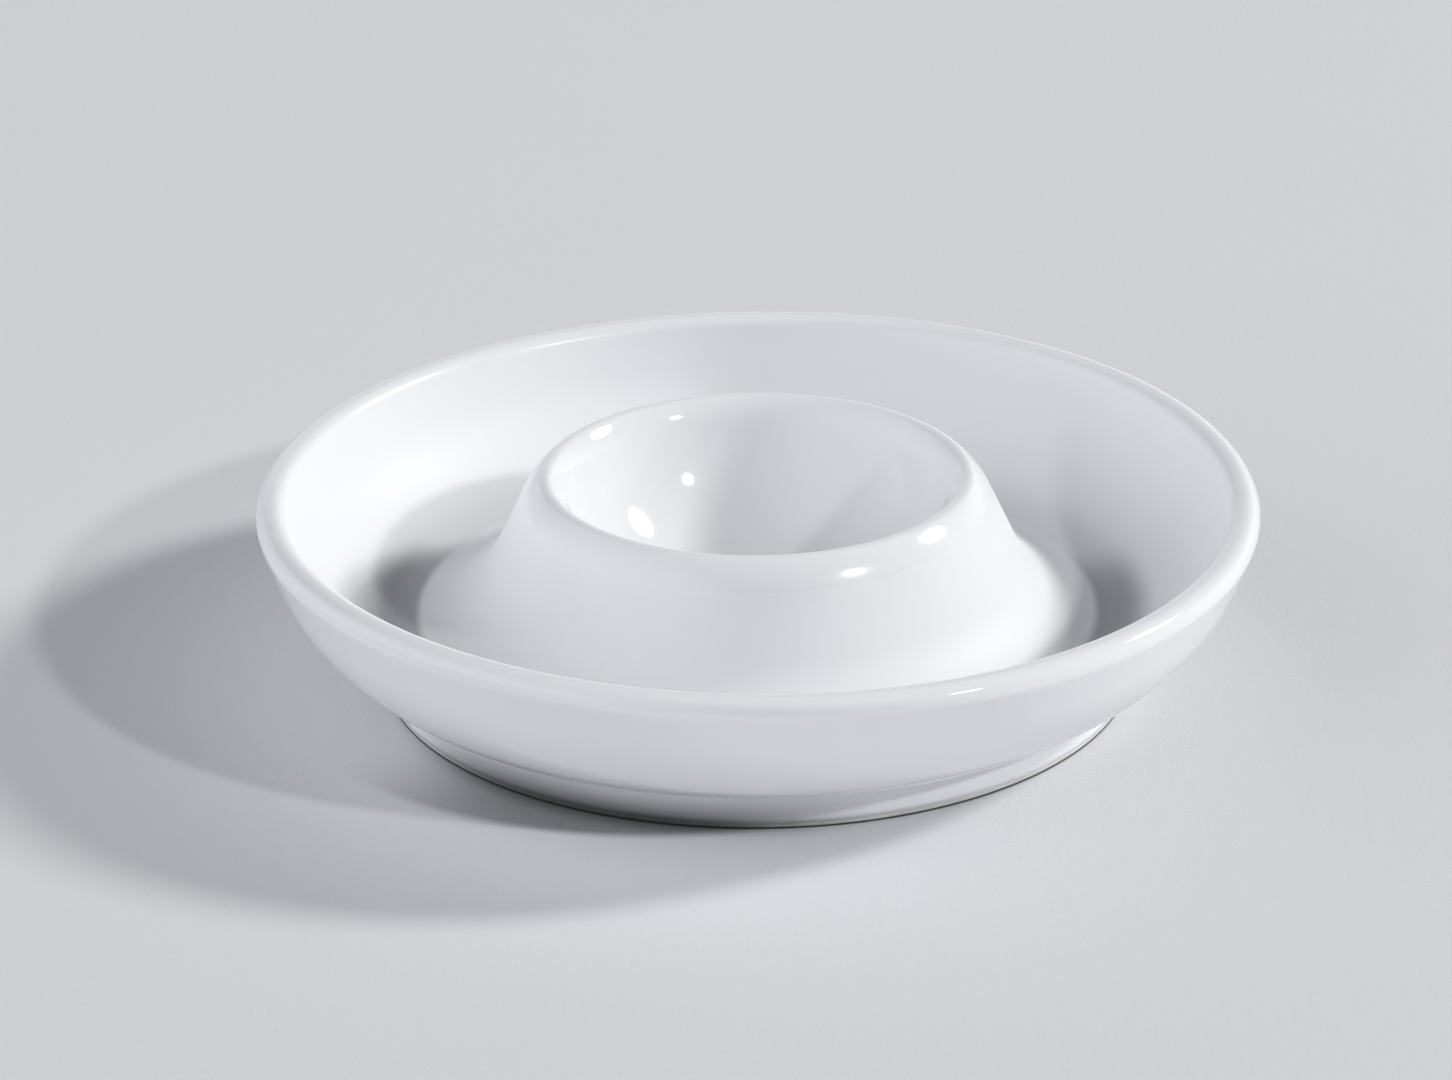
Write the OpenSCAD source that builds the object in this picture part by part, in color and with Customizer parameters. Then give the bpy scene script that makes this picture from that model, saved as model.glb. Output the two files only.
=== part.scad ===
// Egg cup with its own saucer, cast in one piece of hard white porcelain and glazed all over
// except for the narrow ring that it stands on. Everything is turned about the upright axis.
// The origin is on that axis, in the plane of the table. All lengths are in millimetres.
//
// One outline describes the whole casting. It is drawn at the surface of the glaze, and again
// set in by the glaze's thickness: the inner outline is the bare porcelain, and the skin
// between the two is the glaze. Every round stretch is an arc that meets its neighbours in
// line. Widths add up from the cup's mouth outwards, and heights from the table upwards, so a
// change of one size carries the rest of the outline with it.

/* [Cup] */
// Diameter of the mouth that the egg sits in, about a millimetre below the lip's top
mouth_d = 47.2; // [42:0.2:52]
// Thickness of the cup's lip at the same height
lip_t = 3.2; // [2.6:0.1:4]
// How far the cup's lip stands above the saucer's rim
lip_rise = 2.65; // [0:0.05:8]
// Radius of the narrow round that tops the lip
lip_top_r = 1.25; // [1:0.05:1.5]
// Radius of the soft shoulder outside the lip
lip_out_r = 9; // [6:0.5:12]
// Where the outer shoulder begins, in degrees up from level as seen from the lip's middle
lip_out_turn = 48; // [42:1:54]
// Radius of the soft shoulder inside the lip
lip_in_r = 7; // [4:0.5:9]
// Where the inner shoulder begins, in degrees up from level
lip_in_turn = 45; // [38:1:52]
// Thickness of the bowl and of the skirt
cup_t = 3.6; // [2.6:0.1:4.2]
// Gap between the bowl's underside and the table
bowl_gap = 2.7; // [1:0.1:5]
// Lean of the skirt outside the cup, in degrees from upright
skirt_lean = 25; // [18:0.5:30]
// Radius of the hollow curve from the skirt into the trough
skirt_r = 12; // [8:0.2:14]
// Radius at the top of the hollow under the cup, between bowl and skirt
hollow_r = 1.5; // [0.8:0.1:2.2]

/* [Saucer] */
// Width of the trough at the top, from the cup's lip to the saucer's rim
trough_w = 29.3; // [24:0.1:44]
// Thickness of the saucer's wall and of its round rim
saucer_t = 3.9; // [3:0.1:4.6]
// Length of the straight flank under the rim
flank_l = 4.55; // [1:0.05:12]
// Lean of the flank, in degrees from upright
flank_lean = 21.5; // [15:0.5:30]
// Outside radius of the belly, where the flank turns in towards the foot
belly_r = 20.4; // [16:0.2:28]
// Lean of the wall where the belly gives way to the flatter base, in degrees from upright
belly_lean = 60; // [52:1:66]
// Radius of the short arc that levels the wall out beside the foot
base_r = 6; // [3:0.5:8]
// Thickness of the base, from the level strip beside the foot to the trough's floor
base_t = 2.9; // [2.2:0.1:3.3]

/* [Foot ring] */
// Height of the foot ring, from the table to the level strip
foot_h = 5.2; // [4:0.1:7]
// Thickness of the foot ring
foot_t = 4; // [3:0.1:6]
// Width of the level strip between the base's arc and the corner at the foot
strip_w = 0.1; // [0.1:0.1:4]
// Radius of the hollow corners outside and inside the foot ring
corner_r = 1; // [0.5:0.1:1.6]
// Radius of the rounded edges of the foot ring's standing face
foot_edge_r = 0.6; // [0.3:0.1:1]

/* [Glaze] */
// Thickness of the glaze
glaze_t = 0.25; // [0.2:0.01:0.4]
// Height of the bare clay at the foot, wiped clean of glaze
bare_h = 0.9; // [0.7:0.1:1.5]

/* [Smoothness] */
// Largest gap between an arc and the facets that stand for it
facet_gap = 0.02; // [0.005:0.005:0.1]
// Widest turn from one facet of an arc to the next, in degrees
facet_turn = 9; // [2:1:15]

/* [Hidden] */
$fn = 128;

porcelain = "WhiteSmoke";
glaze_white = "White";
underside_white = "GhostWhite";

// Directions on an outline, and the points of an arc
function heading(a) = [cos(a), sin(a)];
function arc(centre, r, a0, a1) =
    let (turn = min(facet_turn, 2 * acos(1 - min(1, facet_gap / r))))
    let (steps = max(2, ceil(abs(a1 - a0) / turn)))
    [for (i = [0 : steps]) centre + r * heading(a0 + (a1 - a0) * i / steps)];
function reversed(path) = [for (i = [len(path) - 1 : -1 : 0]) path[i]];

// Two arcs that meet in line share a point, and the second copy of it is left out
same_point = glaze_t / 50;
function joined(path) =
    [for (i = [0 : len(path) - 1]) if (i == 0 || norm(path[i] - path[i - 1]) > same_point) path[i]];

// Heights of the saucer, from the table upwards: foot, base arc, belly, flank and rim
rim_r = saucer_t / 2;
base_rise = base_r * (1 - sin(belly_lean));
belly_rise = belly_r * (sin(belly_lean) - sin(flank_lean));
flank_rise = flank_l * cos(flank_lean);
rim_rise = rim_r * sin(flank_lean);
trough_h = foot_h + base_t;
rim_h = foot_h + base_rise + belly_rise + flank_rise + rim_rise;

// Rim: a full round, half a wall in from the saucer's edge
saucer_d = mouth_d + 2 * (lip_t + trough_w + saucer_t);
saucer_h = rim_h + rim_r;
rim_c = [saucer_d / 2 - rim_r, rim_h];

// Belly: the same centre serves the outside and the inside of the wall
flank_end = rim_c + rim_r * heading(-flank_lean) + flank_l * heading(-90 - flank_lean);
belly_c = flank_end - belly_r * heading(-flank_lean);
belly_in_r = belly_r - saucer_t;
base_c = belly_c + (belly_r - base_r) * heading(-belly_lean);

// Trough: its outer curve runs on from the inside of the belly and levels out at the floor
trough_r = (belly_c[1] - belly_in_r * sin(belly_lean) - trough_h) / (1 - sin(belly_lean));
trough_c = belly_c + (belly_in_r - trough_r) * heading(-belly_lean);

// Lip of the cup: a narrow round on top, which softer shoulders carry on outside and inside
cup_h = saucer_h + lip_rise;
lip_c = [(mouth_d + lip_t) / 2, cup_h - lip_top_r];
lip_out_c = lip_c - (lip_out_r - lip_top_r) * heading(lip_out_turn);
lip_in_c = lip_c - (lip_in_r - lip_top_r) * heading(180 - lip_in_turn);

// Bowl: part of a ball that stands on its lowest point and meets the inner shoulder in line
bowl_h = bowl_gap + cup_t;
bowl_depth = lip_in_c[1] - bowl_h;
bowl_r = (pow(bowl_depth, 2) + pow(lip_in_c[0], 2) - pow(lip_in_r, 2)) / (2 * (bowl_depth + lip_in_r));
bowl_c = [0, bowl_h + bowl_r];
bowl_lean = atan2(bowl_c[1] - lip_in_c[1], lip_in_c[0]);
bowl_out_r = bowl_r + cup_t;

// Skirt: straight down from the outer shoulder, then a hollow curve that ends level with the
// floor. The curve is limited by the width that the trough leaves for it.
skirt_top = lip_out_c + lip_out_r * heading(skirt_lean);
skirt_w = trough_c[0] - skirt_top[0];
skirt_fall = skirt_top[1] - trough_h;
skirt_fit_r = (skirt_w * cos(skirt_lean) - skirt_fall * sin(skirt_lean)) / (1 - sin(skirt_lean));
curve_r = min(skirt_r, skirt_fit_r);
curve_fall = skirt_fall - curve_r;
curve_c = [
    skirt_top[0] + (curve_r + curve_fall * sin(skirt_lean)) / cos(skirt_lean),
    trough_h + curve_r
];
under_r = curve_r + cup_t;

// Foot ring, with hollow corners where it meets the base outside and the trough's floor inside
foot_out_r = base_c[0] - strip_w - corner_r;
foot_in_r = foot_out_r - foot_t;
corner_out_c = [foot_out_r + corner_r, foot_h - corner_r];
corner_reach = max(0, curve_c[0] - foot_in_r + corner_r);
corner_in_c = [
    foot_in_r - corner_r,
    curve_c[1] - sqrt(pow(under_r + corner_r, 2) - pow(corner_reach, 2))
];
corner_in_end = atan2(curve_c[1] - corner_in_c[1], corner_reach);

// Hollow under the cup: its top is a round that touches the skirt and the bowl from below
hollow_line = skirt_top - (cup_t + hollow_r) * heading(skirt_lean);
hollow_dir = heading(skirt_lean - 90);
to_bowl = hollow_line - bowl_c;
along = to_bowl * hollow_dir;
hollow_l = -along + sqrt(pow(along, 2) - to_bowl * to_bowl + pow(bowl_out_r + hollow_r, 2));
hollow_c = hollow_line + hollow_l * hollow_dir;
hollow_end = atan2(bowl_c[1] - hollow_c[1], -hollow_c[0]);

// The outline above the table, set in by a depth: from the foot's outer face, up over the
// saucer's rim, down into the trough, up over the cup's lip and down to the bowl's lowest point
function face_path(depth) = joined(concat(
    arc(corner_out_c, corner_r + depth, 180, 90),
    arc(base_c, base_r - depth, -90, -belly_lean),
    arc(belly_c, belly_r - depth, -belly_lean, -flank_lean),
    arc(rim_c, rim_r - depth, -flank_lean, 180 - flank_lean),
    arc(belly_c, belly_in_r + depth, -flank_lean, -belly_lean),
    arc(trough_c, trough_r + depth, -belly_lean, -90),
    arc(curve_c, curve_r + depth, 270, 180 + skirt_lean),
    arc(lip_out_c, lip_out_r - depth, skirt_lean, lip_out_turn),
    arc(lip_c, lip_top_r - depth, lip_out_turn, 180 - lip_in_turn),
    arc(lip_in_c, lip_in_r - depth, 180 - lip_in_turn, 180 - bowl_lean),
    arc(bowl_c, bowl_r + depth, -bowl_lean, -90)
));

// The outline of the underside, set in by a depth: from the foot's inner face, along under the
// trough, up into the hollow under the cup and down round the bowl to its lowest point
function under_path(depth) = joined(concat(
    arc(corner_in_c, corner_r + depth, 0, corner_in_end),
    arc(curve_c, under_r - depth, 180 + corner_in_end, 180 + skirt_lean),
    arc(hollow_c, hollow_r + depth, skirt_lean, hollow_end),
    arc(bowl_c, bowl_out_r - depth, hollow_end - 180, -90)
));

// The standing face of the foot ring, from its inner to its outer face
function foot_path(depth) = concat(
    arc([foot_in_r + depth + foot_edge_r, foot_edge_r], foot_edge_r, 180, 270),
    arc([foot_out_r - depth - foot_edge_r, foot_edge_r], foot_edge_r, -90, 0)
);

// A skin between an outline and the same outline set in by the glaze, with a square end at the
// height where the glaze is wiped off
module skin(outline, inset, face_r, inset_r)
    rotate_extrude()
        polygon(concat([[face_r, bare_h]], outline, reversed(inset), [[inset_r, bare_h]]));

// The porcelain itself, bare clay all over
module porcelain_body()
    color(porcelain)
        rotate_extrude()
            polygon(concat(foot_path(glaze_t), face_path(glaze_t), reversed(under_path(glaze_t))));

// The glaze on everything that shows from above and from the sides
module outer_glaze()
    color(glaze_white)
        skin(face_path(0), face_path(glaze_t), foot_out_r, foot_out_r - glaze_t);

// The glaze inside the foot ring and under the cup
module underside_glaze()
    color(underside_white)
        skin(under_path(0), under_path(glaze_t), foot_in_r, foot_in_r + glaze_t);

porcelain_body();
outer_glaze();
underside_glaze();
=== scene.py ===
# %% [markdown]
# # An egg cup cast in one with its saucer
#
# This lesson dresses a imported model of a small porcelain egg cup. Such a cup is turned on a wheel
# or pressed in a mould: every surface is round about one upright axis, and the charm lies in how
# softly the light rolls over the rims. So the work goes into three things: outlines that run
# on without a kink, a glaze that mirrors the studio, and light that falls as in the photograph.
#
# All lengths in the outline are in millimetres, as a potter would write them, and are turned into
# metres when the mesh is made.

import math

import bmesh
import bpy
import numpy as np
from mathutils import Matrix, Vector


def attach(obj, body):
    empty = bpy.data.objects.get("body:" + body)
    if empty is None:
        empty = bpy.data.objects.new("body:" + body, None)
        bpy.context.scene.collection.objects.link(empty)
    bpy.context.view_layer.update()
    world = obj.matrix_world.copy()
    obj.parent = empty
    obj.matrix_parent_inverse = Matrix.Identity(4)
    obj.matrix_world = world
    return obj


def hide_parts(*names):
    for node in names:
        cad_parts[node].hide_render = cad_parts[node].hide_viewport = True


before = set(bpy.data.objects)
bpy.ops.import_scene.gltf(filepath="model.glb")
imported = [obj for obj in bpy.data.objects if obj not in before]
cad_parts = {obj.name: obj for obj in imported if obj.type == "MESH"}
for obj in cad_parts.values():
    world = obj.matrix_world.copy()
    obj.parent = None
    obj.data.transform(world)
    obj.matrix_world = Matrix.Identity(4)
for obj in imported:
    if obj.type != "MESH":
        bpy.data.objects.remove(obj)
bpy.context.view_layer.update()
MM = 0.001
print("frame nodes:", sorted(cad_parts))

# %% [markdown]
# ## The sizes
#
# The sizes are the same as in the solid model, under the same names. Writing them down once, and
# working every other place out from them, keeps the dressed pieces over the solids, but for the
# rims' slow waves further down.

# %% Sizes of the casting
mouth_d, lip_t, lip_rise, cup_t, bowl_gap = 47.2, 3.2, 2.65, 3.6, 2.7
lip_top_r, lip_out_r, lip_out_turn, lip_in_r, lip_in_turn = 1.25, 9, 48, 7, 45
skirt_lean, skirt_r, hollow_r = 25, 12, 1.5
trough_w, saucer_t, flank_l, flank_lean = 29.3, 3.9, 4.55, 21.5
belly_r, belly_lean, base_r, base_t = 20.4, 60, 6, 2.9
foot_h, foot_t, strip_w, corner_r, foot_edge_r = 5.2, 4, 0.1, 1, 0.6
glaze_t, bare_h = 0.25, 0.9

# %% [markdown]
# ## One outline for the whole casting
#
# A turned pot is described by the line that a card template would have. It could be drawn as a
# spline through a few points, but a spline swells a little where it should run straight, and the
# eye sees that at once in a glossy surface. Arcs that meet in line are closer to what a turner's
# template does. Each arc has a centre, a radius and two angles, and setting the outline in by the
# glaze's thickness only changes the radii.

# %% Arcs that meet in line
def sine(angle):
    return math.sin(math.radians(angle))


def cosine(angle):
    return math.cos(math.radians(angle))


def heading(angle):
    return np.array([cosine(angle), sine(angle)])


def arc(centre, radius, start, end, turn_step):
    steps = max(2, math.ceil(abs(end - start) / turn_step))
    return [np.array(centre) + radius * heading(start + (end - start) * i / steps) for i in range(steps + 1)]


# %% [markdown]
# ## Where the arcs have their centres
#
# Widths add up from the cup's mouth outwards and heights from the table upwards, as in the solid
# model. Two arcs meet in line when their centres lie on one line through the point they share.

# %% Saucer
rim_r = saucer_t / 2
base_rise = base_r * (1 - sine(belly_lean))
belly_rise = belly_r * (sine(belly_lean) - sine(flank_lean))
trough_h = foot_h + base_t
rim_h = foot_h + base_rise + belly_rise + flank_l * cosine(flank_lean) + rim_r * sine(flank_lean)
saucer_d = mouth_d + 2 * (lip_t + trough_w + saucer_t)
rim_c = np.array([saucer_d / 2 - rim_r, rim_h])
flank_end = rim_c + rim_r * heading(-flank_lean) + flank_l * heading(-90 - flank_lean)
belly_c = flank_end - belly_r * heading(-flank_lean)
belly_in_r = belly_r - saucer_t
base_c = belly_c + (belly_r - base_r) * heading(-belly_lean)
trough_r = (belly_c[1] - belly_in_r * sine(belly_lean) - trough_h) / (1 - sine(belly_lean))
trough_c = belly_c + (belly_in_r - trough_r) * heading(-belly_lean)

# %% Cup
cup_h = rim_h + rim_r + lip_rise
lip_c = np.array([(mouth_d + lip_t) / 2, cup_h - lip_top_r])
lip_out_c = lip_c - (lip_out_r - lip_top_r) * heading(lip_out_turn)
lip_in_c = lip_c - (lip_in_r - lip_top_r) * heading(180 - lip_in_turn)
bowl_h = bowl_gap + cup_t
bowl_depth = lip_in_c[1] - bowl_h
bowl_r = (bowl_depth ** 2 + lip_in_c[0] ** 2 - lip_in_r ** 2) / (2 * (bowl_depth + lip_in_r))
bowl_c = np.array([0, bowl_h + bowl_r])
bowl_lean = math.degrees(math.atan2(bowl_c[1] - lip_in_c[1], lip_in_c[0]))
bowl_out_r = bowl_r + cup_t
skirt_top = lip_out_c + lip_out_r * heading(skirt_lean)
skirt_w, skirt_fall = trough_c[0] - skirt_top[0], skirt_top[1] - trough_h
skirt_fit_r = (skirt_w * cosine(skirt_lean) - skirt_fall * sine(skirt_lean)) / (1 - sine(skirt_lean))
curve_r = min(skirt_r, skirt_fit_r)
curve_x = skirt_top[0] + (curve_r + (skirt_fall - curve_r) * sine(skirt_lean)) / cosine(skirt_lean)
curve_c = np.array([curve_x, trough_h + curve_r])
print(f"saucer {saucer_d:.1f} mm across, rim {rim_h + rim_r:.2f} mm up, cup {cup_h:.2f} mm up")
print(f"bowl: ball of {bowl_r:.2f} mm, its floor {bowl_h:.2f} mm up; skirt curve {curve_r:.2f} mm")

# %% Foot ring and underside
under_r = curve_r + cup_t
foot_out_r = base_c[0] - strip_w - corner_r
foot_in_r = foot_out_r - foot_t
corner_out_c = np.array([foot_out_r + corner_r, foot_h - corner_r])
corner_reach = max(0, curve_c[0] - foot_in_r + corner_r)
corner_in_z = curve_c[1] - math.sqrt((under_r + corner_r) ** 2 - corner_reach ** 2)
corner_in_c = np.array([foot_in_r - corner_r, corner_in_z])
corner_in_end = math.degrees(math.atan2(curve_c[1] - corner_in_z, corner_reach))
hollow_line = skirt_top - (cup_t + hollow_r) * heading(skirt_lean)
hollow_dir = heading(skirt_lean - 90)
to_bowl = hollow_line - bowl_c
along = to_bowl @ hollow_dir
hollow_l = -along + math.sqrt(along ** 2 - to_bowl @ to_bowl + (bowl_out_r + hollow_r) ** 2)
hollow_c = hollow_line + hollow_l * hollow_dir
hollow_end = math.degrees(math.atan2(bowl_c[1] - hollow_c[1], -hollow_c[0]))

# %% The outlines, set in by a depth
def face_path(depth, turn_step):
    return (
        arc(corner_out_c, corner_r + depth, 180, 90, turn_step)
        + arc(base_c, base_r - depth, -90, -belly_lean, turn_step)
        + arc(belly_c, belly_r - depth, -belly_lean, -flank_lean, turn_step)
        + arc(rim_c, rim_r - depth, -flank_lean, 180 - flank_lean, turn_step)
        + arc(belly_c, belly_in_r + depth, -flank_lean, -belly_lean, turn_step)
        + arc(trough_c, trough_r + depth, -belly_lean, -90, turn_step)
        + arc(curve_c, curve_r + depth, 270, 180 + skirt_lean, turn_step)
        + arc(lip_out_c, lip_out_r - depth, skirt_lean, lip_out_turn, turn_step)
        + arc(lip_c, lip_top_r - depth, lip_out_turn, 180 - lip_in_turn, turn_step)
        + arc(lip_in_c, lip_in_r - depth, 180 - lip_in_turn, 180 - bowl_lean, turn_step)
        + arc(bowl_c, bowl_r + depth, -bowl_lean, -90, turn_step)
    )


def under_path(depth, turn_step):
    return (
        arc(corner_in_c, corner_r + depth, 0, corner_in_end, turn_step)
        + arc(curve_c, under_r - depth, 180 + corner_in_end, 180 + skirt_lean, turn_step)
        + arc(hollow_c, hollow_r + depth, skirt_lean, hollow_end, turn_step)
        + arc(bowl_c, bowl_out_r - depth, hollow_end - 180, -90, turn_step)
    )


def foot_path(depth, turn_step):
    return (
        arc([foot_in_r + depth + foot_edge_r, foot_edge_r], foot_edge_r, 180, 270, turn_step)
        + arc([foot_out_r - depth - foot_edge_r, foot_edge_r], foot_edge_r, -90, 0, turn_step)
    )


# %% [markdown]
# ## How the rims went out of true in the kiln
#
# Blender's Screw modifier would turn the outline into a perfect ring, but the edges of rim and lip
# in the photograph leave one by a few tenths of a millimetre, and slow waves fit them: a slight
# saddle in the saucer's rim, and a circle that is a little egg-shaped. Thin walls that soften at
# full heat do that, and it is taken as the cause here, though the lens or the retouching could
# have done it too. So the rings are made in code, and each point is moved by a few waves that die
# out towards the foot, which stands flat.

# %% Slow waves around the rims
def wave(turn, count, amount, crest):
    """A wave that comes round a number of times, with a crest at the given angle."""
    return amount * np.cos(count * (turn - math.radians(crest)))


def kiln_sag(points):
    x, y, z = points.T
    turn, radius = np.arctan2(y, x), np.hypot(x, y)
    height_share = z / rim_c[1]
    saucer_share = np.clip((radius - trough_c[0]) / (rim_c[0] - trough_c[0]), 0, 1)
    cup_share = np.clip((trough_c[0] - radius) / (trough_c[0] - lip_c[0]), 0, 1) * radius / lip_c[0]
    lift = saucer_share * (wave(turn, 2, saddle, 41) + wave(turn, 1, tip, 180))
    lift += cup_share * wave(turn, 1, tip, -73)
    widen = saucer_share * (wave(turn, 2, oval, -16) + wave(turn, 3, three_lobes, 7))
    widen += cup_share * wave(turn, 2, cup_oval, 0)
    grow = 1 + height_share * widen / np.maximum(radius, lip_c[0])
    return np.column_stack([x * grow, y * grow, z + height_share * lift])


saddle, tip, oval, three_lobes, cup_oval = 0.36, 0.09, 0.25, 0.15, 0.14
print(f"the rim's saddle rises and falls by {saddle} mm")

# %% [markdown]
# ## Turning an outline into a mesh
#
# Each point of the outline becomes a ring of vertices, and neighbouring rings are joined by quads.
# A point on the axis becomes one vertex with a fan of triangles. Long straight stretches get
# points of their own, so that smooth shading stays true where a straight flank meets a tight curve.

# %% The turned mesh
def tidy_line(path, longest):
    """Leaves out doubled points and fills in long straight stretches."""
    line = [np.array(path[0], float)]
    for point in path[1:]:
        gap = np.linalg.norm(point - line[-1])
        if gap < 0.004:
            continue
        pieces = math.ceil(gap / longest)
        line += [line[-1] + (point - line[-1]) * (i + 1) / pieces for i in range(pieces)]
    return line


def turned(name, loop, sides):
    """A closed outline turned about Z. Points on the axis become one vertex each."""
    verts, rings = [], []
    for r, z in loop:
        if r < 1e-6:
            rings.append([len(verts)])
            verts.append((0, 0, z))
            continue
        rings.append(list(range(len(verts), len(verts) + sides)))
        verts += [
            (r * math.cos(2 * math.pi * k / sides), r * math.sin(2 * math.pi * k / sides), z)
            for k in range(sides)
        ]
    faces = []
    for a, b in zip(rings, rings[1:] + rings[:1]):
        if len(a) == 1 and len(b) == 1:
            continue
        for k in range(sides):
            n = (k + 1) % sides
            if len(a) == 1:
                faces.append((a[0], b[n], b[k]))
            elif len(b) == 1:
                faces.append((a[k], a[n], b[0]))
            else:
                faces.append((a[k], a[n], b[n], b[k]))
    points = kiln_sag(np.array(verts)) * MM
    mesh = bpy.data.meshes.new(name)
    mesh.from_pydata(points.tolist(), [], faces)
    mesh.update()
    bm = bmesh.new()
    bm.from_mesh(mesh)
    bmesh.ops.recalc_face_normals(bm, faces=bm.faces)
    bm.to_mesh(mesh)
    bm.free()
    mesh.polygons.foreach_set("use_smooth", [True] * len(mesh.polygons))
    piece = bpy.data.objects.new(name, mesh)
    bpy.context.scene.collection.objects.link(piece)
    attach(piece, "root")
    print(f"{name}: {len(mesh.vertices)} vertices, {len(mesh.polygons)} faces")
    return piece


# %% [markdown]
# ## The bare casting and its two coats of glaze
#
# The clay is one piece. The glaze is a skin a quarter of a millimetre thick, in two parts: one over
# everything that shows from above, one inside the foot ring. Between them the foot's standing
# face is bare, as on most such pots, which would stick to the kiln shelf otherwise. Each coat is
# a closed skin over the clay, so the clay shows at the foot and nowhere else.

# %% The casting
def joined(*paths, longest):
    whole = []
    for path in paths:
        whole += path
    return tidy_line(whole, longest)


clay_loop = joined(
    foot_path(glaze_t, 12), face_path(glaze_t, 7), under_path(glaze_t, 7)[::-1], longest=4
)
casting = turned("casting", clay_loop, 192)
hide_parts("porcelain_body")

# %% The two coats
def coat(name, outline, coarse_step, face_r, clay_r, fine_step, sides, longest):
    fine = tidy_line([np.array([face_r, bare_h])] + outline(0, fine_step), longest)
    coarse = tidy_line([np.array([clay_r, bare_h])] + outline(glaze_t, coarse_step), 4)
    return turned(name, fine + coarse[::-1], sides)


top_coat = coat("top_coat", face_path, 7, foot_out_r, foot_out_r - glaze_t, 2.5, 384, 0.8)
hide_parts("outer_glaze")
under_coat = coat("under_coat", under_path, 7, foot_in_r, foot_in_r + glaze_t, 4, 192, 1.6)
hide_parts("underside_glaze")

# %% [markdown]
# ## Small helpers for node trees
#
# Procedural materials are sums worked out for each point of the surface. Written node by node they
# fill pages, so two helpers keep them readable: one makes a node and fills its inputs, with a link
# where the value comes from another node, and one makes a soft step between two values, which is
# what most masks are.

# %% Helpers for nodes
def add(tree, kind, inputs=None, **settings):
    node = tree.nodes.new(kind)
    for key, value in settings.items():
        setattr(node, key, value)
    for key, value in (inputs or {}).items():
        if isinstance(value, bpy.types.NodeSocket):
            tree.links.new(value, node.inputs[key])
        else:
            node.inputs[key].default_value = value
    return node


def calc(tree, operation, first, second=0.0, third=0.0):
    return add(tree, "ShaderNodeMath", {0: first, 1: second, 2: third}, operation=operation).outputs[0]


def step(tree, value, low, high):
    """Rises softly from 0 at low to 1 at high. With low above high it falls."""
    rising = low < high
    ends = {"From Min": low, "From Max": high} if rising else {"From Min": high, "From Max": low}
    ends |= {"To Min": 0.0 if rising else 1.0, "To Max": 1.0 if rising else 0.0}
    soft = add(tree, "ShaderNodeMapRange", {"Value": value, **ends}, interpolation_type="SMOOTHSTEP")
    return soft.outputs["Result"]


def blend(tree, share, first, second):
    return add(tree, "ShaderNodeMix", {0: share, 6: first, 7: second}, data_type="RGBA").outputs[2]


def noise(tree, place, size, detail=2.0):
    """Cloudy noise whose lumps are about as large as the given size in metres."""
    cloud = add(tree, "ShaderNodeTexNoise", {"Vector": place, "Scale": 1 / size, "Detail": detail})
    return cloud.outputs["Fac"]


def specks(tree, place, spacing, size, share):
    """A few round dots on a loose grid: 1 inside a dot, 0 elsewhere."""
    cells = add(tree, "ShaderNodeTexVoronoi", {"Vector": place, "Scale": 1 / spacing})
    dot = step(tree, cells.outputs["Distance"], size / spacing, 0.6 * size / spacing)
    chance = add(tree, "ShaderNodeSeparateColor", {0: cells.outputs["Color"]}).outputs[0]
    return calc(tree, "MULTIPLY", dot, calc(tree, "LESS_THAN", chance, share))


def group(name, inputs, outputs):
    tree = bpy.data.node_groups.new(name, "ShaderNodeTree")
    for label, kind in inputs:
        tree.interface.new_socket(label, in_out="INPUT", socket_type=kind)
    for label, kind in outputs:
        tree.interface.new_socket(label, in_out="OUTPUT", socket_type=kind)
    return tree, tree.nodes.new("NodeGroupInput"), tree.nodes.new("NodeGroupOutput")


# %% [markdown]
# ## Painted shade on one side
#
# In the photograph, the foot's front left and the board beside it are darker than white glaze
# turns in this light. Nothing shows why: a dark part of the room, or a hand that worked on the
# picture, may have done it. So this is painted shade: a darker colour that stands for the tone,
# and no mark that was seen. The glaze, the bare clay and the board all carry a part of it, so its
# side is worked out once, in a node group that the three share.

# %% The side that the painted shade lies on
painted_shade, _, result = group("smudge side", [], [("Share", "NodeSocketFloat")])
place = painted_shade.nodes.new("ShaderNodeTexCoord").outputs["Object"]
around = add(painted_shade, "ShaderNodeVectorMath", {0: place, 1: (1, 1, 0)}, operation="MULTIPLY").outputs[0]
around = add(painted_shade, "ShaderNodeVectorMath", {0: around}, operation="NORMALIZE").outputs[0]
painted_shade_axis = (cosine(-114), sine(-114), 0)
facing = add(painted_shade, "ShaderNodeVectorMath", {0: around, 1: painted_shade_axis}, operation="DOT_PRODUCT")
painted_shade.links.new(step(painted_shade, facing.outputs["Value"], cosine(43), 1.0), result.inputs["Share"])


def one_side(tree):
    return add(tree, "ShaderNodeGroup", node_tree=painted_shade).outputs["Share"]
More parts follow.
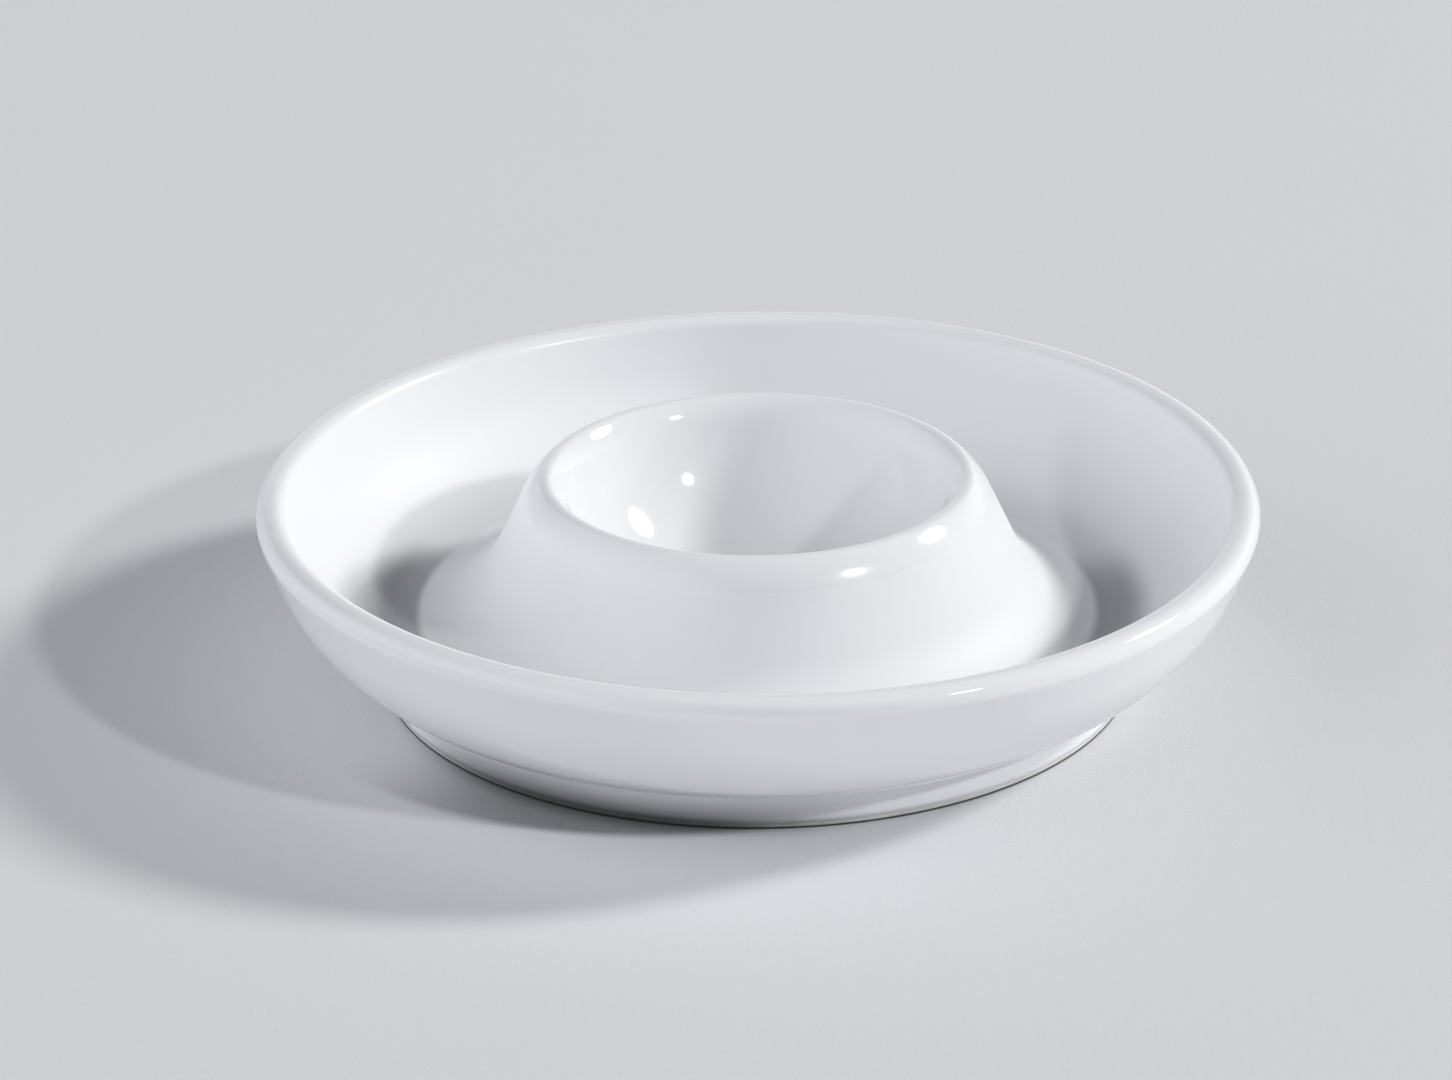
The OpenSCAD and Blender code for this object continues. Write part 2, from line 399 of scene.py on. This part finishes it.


# %% [markdown]
# ## The glaze
#
# Porcelain glaze is clear glass over white clay. Four small things are worked out here: painted
# shade in a grey ring on the trough's floor, darkest at two opposite ends; painted light, a whiter
# colour where the surface faces down, on the outer walls; a surface never quite flat, so that a
# lamp's mirror image has a soft outline; and less gloss in the trough. The painted ring and the
# satin trough are stand-ins. The real walls look glossy and mirror their room, which isn't known,
# and the dark spots may be such mirror images. A glossy trough showed the lamps at wrong places
# here, so satin and the painted ring give the broad tones instead. All four follow the place and
# the slope of the surface. They are one node group, because the glaze under the foot shares it.

# %% The glaze as a node group
def glaze_group():
    tree, given, result = group(
        "glaze",
        [("Clear", "NodeSocketColor"), ("Cloud and shade", "NodeSocketColor"), ("Gloss", "NodeSocketFloat")],
        [("Colour", "NodeSocketColor"), ("Roughness", "NodeSocketFloat"), ("Height", "NodeSocketFloat")],
    )
    coords = tree.nodes.new("ShaderNodeTexCoord")
    place = coords.outputs["Object"]
    axes = add(tree, "ShaderNodeSeparateXYZ", {0: place}).outputs
    flat = add(tree, "ShaderNodeCombineXYZ", {0: axes[0], 1: axes[1]}).outputs[0]
    radius = add(tree, "ShaderNodeVectorMath", {0: flat}, operation="LENGTH").outputs["Value"]
    slope = add(tree, "ShaderNodeSeparateXYZ", {0: coords.outputs["Normal"]}).outputs[2]

    # Painted shade: a grey ring on the trough's floor, darkest at two opposite ends
    ring = calc(
        tree, "MULTIPLY",
        step(tree, radius, painted_trough_shade_inner * MM, (painted_trough_shade_inner + 1.4) * MM),
        step(tree, radius, (painted_trough_shade_outer + 2) * MM, (painted_trough_shade_outer - 2) * MM),
    )
    ring = calc(tree, "MULTIPLY", ring, step(tree, slope, 0.5, 0.85))
    across = add(tree, "ShaderNodeVectorMath", {0: place, 1: painted_trough_shade_axis}, operation="DOT_PRODUCT")
    ends = calc(tree, "DIVIDE", calc(tree, "ABSOLUTE", across.outputs["Value"]), radius)
    ends = step(tree, ends, cosine(painted_trough_shade_spread), 1.0)
    painted_trough_shade = calc(tree, "MULTIPLY", ring, calc(tree, "MULTIPLY_ADD", ends, 1 - painted_trough_shade_all_round, painted_trough_shade_all_round))

    # Painted light: whiter where the surface faces down, on the outer walls; cloudy all over, with a few
    # iron specks
    painted_light_share = step(tree, slope, 0.25, -0.1)
    cloud = noise(tree, place, 0.03)
    colour = blend(tree, painted_light_share, given.outputs["Clear"], painted_light_white)
    colour = blend(tree, calc(tree, "MULTIPLY", cloud, 0.06), colour, given.outputs["Cloud and shade"])
    colour = blend(tree, painted_trough_shade, colour, given.outputs["Cloud and shade"])
    iron = specks(tree, place, 0.009, 0.00014, 0.05)
    colour = blend(tree, calc(tree, "MULTIPLY", iron, 0.5), colour, (0.28, 0.24, 0.2, 1))

    # Painted shade, low on the foot's front left
    painted_foot_shade = calc(tree, "MULTIPLY", one_side(tree), step(tree, axes[2], 5.4 * MM, 0.2 * MM))
    painted_foot_shade = calc(tree, "MULTIPLY", painted_foot_shade, step(tree, radius, 40 * MM, 43 * MM))
    colour = blend(tree, painted_foot_shade, colour, (0.11, 0.113, 0.12, 1))

    # Satin in the trough, glossy on the lips and in the bowl
    rubbed = calc(
        tree, "MULTIPLY",
        step(tree, radius, rubbed_inner * MM, (rubbed_inner + 4) * MM),
        step(tree, radius, rubbed_outer * MM, (rubbed_outer - 4) * MM),
    )
    rubbed = calc(tree, "MULTIPLY", rubbed, step(tree, slope, 0.0, 0.2))
    uneven = calc(tree, "MULTIPLY", noise(tree, place, 0.012, 4.0), 0.05)
    rough = calc(tree, "ADD", given.outputs["Gloss"], uneven)
    rough = calc(tree, "ADD", rough, calc(tree, "MULTIPLY", rubbed, rubbed_roughness))

    # Long soft waves, fine orange peel, and a pit at each speck
    waves = noise(tree, place, 0.011, 1.0)
    peel = calc(tree, "MULTIPLY", noise(tree, place, 0.0013, 1.0), 0.12)
    height = calc(tree, "SUBTRACT", calc(tree, "ADD", waves, peel), calc(tree, "MULTIPLY", iron, 0.8))
    tree.links.new(colour, result.inputs["Colour"])
    tree.links.new(rough, result.inputs["Roughness"])
    tree.links.new(height, result.inputs["Height"])
    return tree


# Painted light: the whiter colour of the downward-facing outer walls
painted_light_white = (0.905, 0.92, 0.935, 1)
# Where the painted shade lies in the trough, in millimetres and degrees
painted_trough_shade_inner, painted_trough_shade_outer = 40.2, 46.5
painted_trough_shade_axis = (cosine(177), sine(177), 0)
painted_trough_shade_spread, painted_trough_shade_all_round = 26, 0.12
rubbed_inner, rubbed_outer, rubbed_roughness = 26.3, 58.5, 0.46
glaze = glaze_group()
print("glaze group:", len(glaze.nodes), "nodes")


# %% The glazed materials
def material(name):
    made = bpy.data.materials.new(name)
    made.use_nodes = True
    tree = made.node_tree
    return made, tree, tree.nodes["Principled BSDF"]


def glazed(name, clear, cloud_and_shade, gloss, wave_height):
    made, tree, shader = material(name)
    skin = add(tree, "ShaderNodeGroup", node_tree=glaze)
    skin.inputs["Clear"].default_value = clear
    skin.inputs["Cloud and shade"].default_value = cloud_and_shade
    skin.inputs["Gloss"].default_value = gloss
    bump = add(tree, "ShaderNodeBump", {"Height": skin.outputs["Height"], "Distance": wave_height})
    tree.links.new(skin.outputs["Colour"], shader.inputs["Base Color"])
    tree.links.new(skin.outputs["Roughness"], shader.inputs["Roughness"])
    tree.links.new(bump.outputs["Normal"], shader.inputs["Normal"])
    shader.inputs["IOR"].default_value = 1.52
    return made


# The second colour is both the glaze's cloudy tone and the grey of the painted shade
white_glaze = glazed("white glaze", (0.845, 0.861, 0.873, 1), (0.4, 0.41, 0.43, 1), 0.045, 0.000012)
foot_glaze = glazed("glaze under the foot", (0.85, 0.85, 0.845, 1), (0.6, 0.6, 0.6, 1), 0.1, 0.00002)

# %% [markdown]
# ## The bare clay
#
# The ring that the cup stands on has no glaze. Fired porcelain clay is dense but matt, with a fine
# grain, and it picks up grey from every table that it is slid over. Its front left carries painted
# shade, and its lowest edge, where it meets the table, is painted near black as contact shade.

# %% Bare clay
bare_clay, tree, shader = material("bare porcelain")
coords = tree.nodes.new("ShaderNodeTexCoord")
place = coords.outputs["Object"]
grain = noise(tree, place, 0.0004, 3.0)
stain = step(tree, noise(tree, place, 0.004, 4.0), 0.35, 0.7)
clay = blend(tree, grain, (0.72, 0.715, 0.705, 1), (0.82, 0.815, 0.8, 1))
clay = blend(tree, calc(tree, "MULTIPLY", stain, 0.2), clay, (0.4, 0.39, 0.375, 1))
# Painted shade on the clay's front left
clay = blend(tree, one_side(tree), clay, (0.1, 0.1, 0.1, 1))
# Painted contact shade: near black along the lowest quarter millimetre, where the foot meets the table
contact_shade = step(tree, add(tree, "ShaderNodeSeparateXYZ", {0: place}).outputs[2], 0.00025, 0.0001)
clay = blend(tree, calc(tree, "MULTIPLY", contact_shade, 0.85), clay, (0.03, 0.03, 0.03, 1))
rough = calc(tree, "MULTIPLY_ADD", grain, 0.2, 0.62)
bump = add(tree, "ShaderNodeBump", {"Height": grain, "Distance": 0.00006})
tree.links.new(clay, shader.inputs["Base Color"])
tree.links.new(rough, shader.inputs["Roughness"])
tree.links.new(bump.outputs["Normal"], shader.inputs["Normal"])
for piece, look in ((casting, bare_clay), (top_coat, white_glaze), (under_coat, foot_glaze)):
    piece.data.materials.append(look)

# %% [markdown]
# ## The table
#
# The cup stands on a pale matt board. Its fine tooth, its drifting tone and the few grains of dust
# are what such boards have, and not marks that the photograph shows at these places. Next to the
# foot it carries painted shadow: a disk as large as the foot but shifted to the left, a soft rim
# beside the foot, and a thin dark line along it where the foot meets the board. The plane is large
# enough that its edge never shows.

# %% Table
board, tree, shader = material("pale board")
place = tree.nodes.new("ShaderNodeTexCoord").outputs["Object"]
tone = blend(tree, noise(tree, place, 0.12), (0.718, 0.719, 0.737, 1), (0.736, 0.737, 0.756, 1))
radius = add(tree, "ShaderNodeVectorMath", {0: place}, operation="LENGTH").outputs["Value"]
disk_centre = (-12 * MM, 0, 0)
painted_shade_grey, contact_shadow_grey = (0.1, 0.1, 0.105, 1), (0.05, 0.05, 0.052, 1)
side = one_side(tree)
from_disk = add(tree, "ShaderNodeVectorMath", {0: place, 1: disk_centre}, operation="DISTANCE")
# Painted shadow: a disk as large as the foot, shifted to the left, on the front left side
disk = step(tree, from_disk.outputs["Value"], 48 * MM, 45.5 * MM)
disk = calc(tree, "MULTIPLY", calc(tree, "MULTIPLY", side, side), disk)
tone = blend(tree, calc(tree, "MULTIPLY", disk, 0.64), tone, painted_shade_grey)
# Painted shade in a soft rim beside the foot
beside = calc(tree, "MULTIPLY", side, step(tree, radius, 48 * MM, 44.5 * MM))
tone = blend(tree, calc(tree, "MULTIPLY", beside, 0.5), tone, painted_shade_grey)
# Painted shadow: a thin dark line where the foot meets the board
tone = blend(tree, step(tree, radius, 45.2 * MM, 44.7 * MM), tone, contact_shadow_grey)
dust = specks(tree, place, 0.016, 0.0003, 0.12)
tone = blend(tree, calc(tree, "MULTIPLY", dust, 0.6), tone, (0.3, 0.29, 0.28, 1))
tooth = noise(tree, place, 0.0005, 3.0)
tone = blend(tree, calc(tree, "MULTIPLY", step(tree, tooth, 0.5, 0.8), 0.14), tone, (0.45, 0.45, 0.46, 1))
bump = add(tree, "ShaderNodeBump", {"Height": tooth, "Distance": 0.00004})
tree.links.new(tone, shader.inputs["Base Color"])
tree.links.new(bump.outputs["Normal"], shader.inputs["Normal"])
shader.inputs["Roughness"].default_value = 0.75
floor_mesh = bpy.data.meshes.new("table")
reach = 6
floor_mesh.from_pydata(
    [(-reach, -reach, 0), (reach, -reach, 0), (reach, reach, 0), (-reach, reach, 0)], [], [(0, 1, 2, 3)]
)
floor = bpy.data.objects.new("table", floor_mesh)
floor.data.materials.append(board)
bpy.context.scene.collection.objects.link(floor)

# %% [markdown]
# ## The camera
#
# A camera almost a metre away with a long lens fits the ellipses of rim, lip and foot. Distance and
# lens are tied together in that fit, so another pair could do nearly as well. Pan, tilt and roll
# are turned into three directions by hand, which is clearer than Euler angles: forward, right, up.

# %% Camera
FRAME_W, FRAME_H = 1452, 1080
focal_px = 8169.176
pan, tilt, roll = math.radians(-0.237), math.radians(23.641), math.radians(-0.394)
forward = Vector((math.sin(pan) * math.cos(tilt), math.cos(pan) * math.cos(tilt), -math.sin(tilt)))
right = Vector((math.cos(pan), -math.sin(pan), 0))
up = right.cross(forward)
rolled_right = math.cos(roll) * right + math.sin(roll) * up
rolled_up = -math.sin(roll) * right + math.cos(roll) * up
camera_data = bpy.data.cameras.new("camera")
camera_data.sensor_width = 36
camera_data.lens = focal_px * camera_data.sensor_width / FRAME_W
camera = bpy.data.objects.new("camera", camera_data)
camera.matrix_world = Matrix((
    (rolled_right.x, rolled_up.x, -forward.x, 0),
    (rolled_right.y, rolled_up.y, -forward.y, -0.9),
    (rolled_right.z, rolled_up.z, -forward.z, 0.410942),
    (0, 0, 0, 1),
))
bpy.context.scene.collection.objects.link(camera)
bpy.context.scene.camera = camera
print(f"camera {camera.location.length:.2f} m away, lens {camera_data.lens:.0f} mm")

# %% [markdown]
# ## The two lamps
#
# Two shadows cross on the table, so there are two lamps, both from the right: a strong one a little
# behind the cup and a weak one in front. A studio flash shows two things: the wide dish throws the
# shadow, and the small bright tube in front of it makes the mirror image in the glaze, from a
# slightly different place. That is one reason why shadows and mirror images could disagree by a
# few degrees, as they do here. One area lamp can't do both, so each flash is made of two: one that
# only lights, and one that only shows in glossy surfaces.

# %% Lamps
def direction(azimuth, elevation):
    return Vector((cosine(azimuth) * cosine(elevation), sine(azimuth) * cosine(elevation), sine(elevation)))


def far_lamp(name, azimuth, elevation, angle, level, colour=(1, 1, 1)):
    """A far round lamp. It shows as a disk of the given angle and lights a surface that faces it
    as brightly as a white world of the given level would."""
    data = bpy.data.lights.new(name, "AREA")
    data.shape = "DISK"
    data.size = 2 * lamp_distance * math.tan(math.radians(angle / 2))
    data.energy = level * math.pi ** 2 * lamp_distance ** 2
    data.color = colour
    lamp = bpy.data.objects.new(name, data)
    way = direction(azimuth, elevation)
    lamp.location = way * lamp_distance
    lamp.rotation_mode = "QUATERNION"
    lamp.rotation_quaternion = way.to_track_quat("Z", "Y")
    bpy.context.scene.collection.objects.link(lamp)
    return lamp


lamp_distance = 6
warm = (1, 0.99, 0.98)
strong_light = far_lamp("strong_flash", azimuth=14, elevation=30.8, angle=9, level=0.64, colour=warm)
weak_light = far_lamp("weak_flash", azimuth=-34, elevation=33, angle=3.5, level=0.27)
strong_image = far_lamp("strong_flash_tube", azimuth=18, elevation=31.8, angle=13, level=0.42)
weak_image = far_lamp("weak_flash_tube", azimuth=-37.5, elevation=37, angle=5.4, level=0.2)
for lamp in (strong_light, weak_light):
    lamp.visible_glossy = False
for lamp in (strong_image, weak_image):
    lamp.visible_diffuse = False
for lamp in (strong_light, weak_light, strong_image, weak_image):
    print(f"{lamp.name}: disk {lamp.data.size:.2f} m across, {lamp.data.energy:.0f} W")

# %% [markdown]
# ## The studio around the table
#
# The shadows aren't black, so pale walls or reflectors must fill them. What stood round the table
# isn't known. A picture of a studio could be wrapped around the scene, but a few broad cosine glows
# are quicker to change and have no sharp edges that would show in the glaze. Their strengths were
# tried until the shaded sides came close to the photograph's.

# %% World
studio = bpy.data.worlds.new("studio")
studio.use_nodes = True
tree = studio.node_tree
way = tree.nodes.new("ShaderNodeTexCoord").outputs["Generated"]
height = add(tree, "ShaderNodeSeparateXYZ", {0: way}).outputs[2]


def glow(azimuth, elevation, edge, strength):
    """Light that is strongest from one side and fades to nothing at the edge, a cosine."""
    axis = direction(azimuth, elevation)
    facing = add(tree, "ShaderNodeVectorMath", {0: way, 1: axis}, operation="DOT_PRODUCT")
    return calc(tree, "MULTIPLY", step(tree, facing.outputs["Value"], edge, 1.0), strength)


wall_level, ceiling_level = 0.13, 0.02
walls = calc(tree, "ADD", glow(azimuth=60, elevation=0, edge=-1, strength=0.8), wall_level)
light = calc(tree, "MULTIPLY_ADD", step(tree, height, 0.5, 0.12), walls, ceiling_level)
light = calc(tree, "ADD", light, glow(azimuth=200, elevation=20, edge=0.35, strength=1.25))
light = calc(tree, "ADD", light, glow(azimuth=200, elevation=60, edge=-0.2, strength=0.1))
background = tree.nodes["Background"]
background.inputs["Color"].default_value = (0.965, 0.985, 1.035, 1)
tree.links.new(light, background.inputs["Strength"])
bpy.context.scene.world = studio
bpy.context.scene.view_settings.view_transform = "Standard"
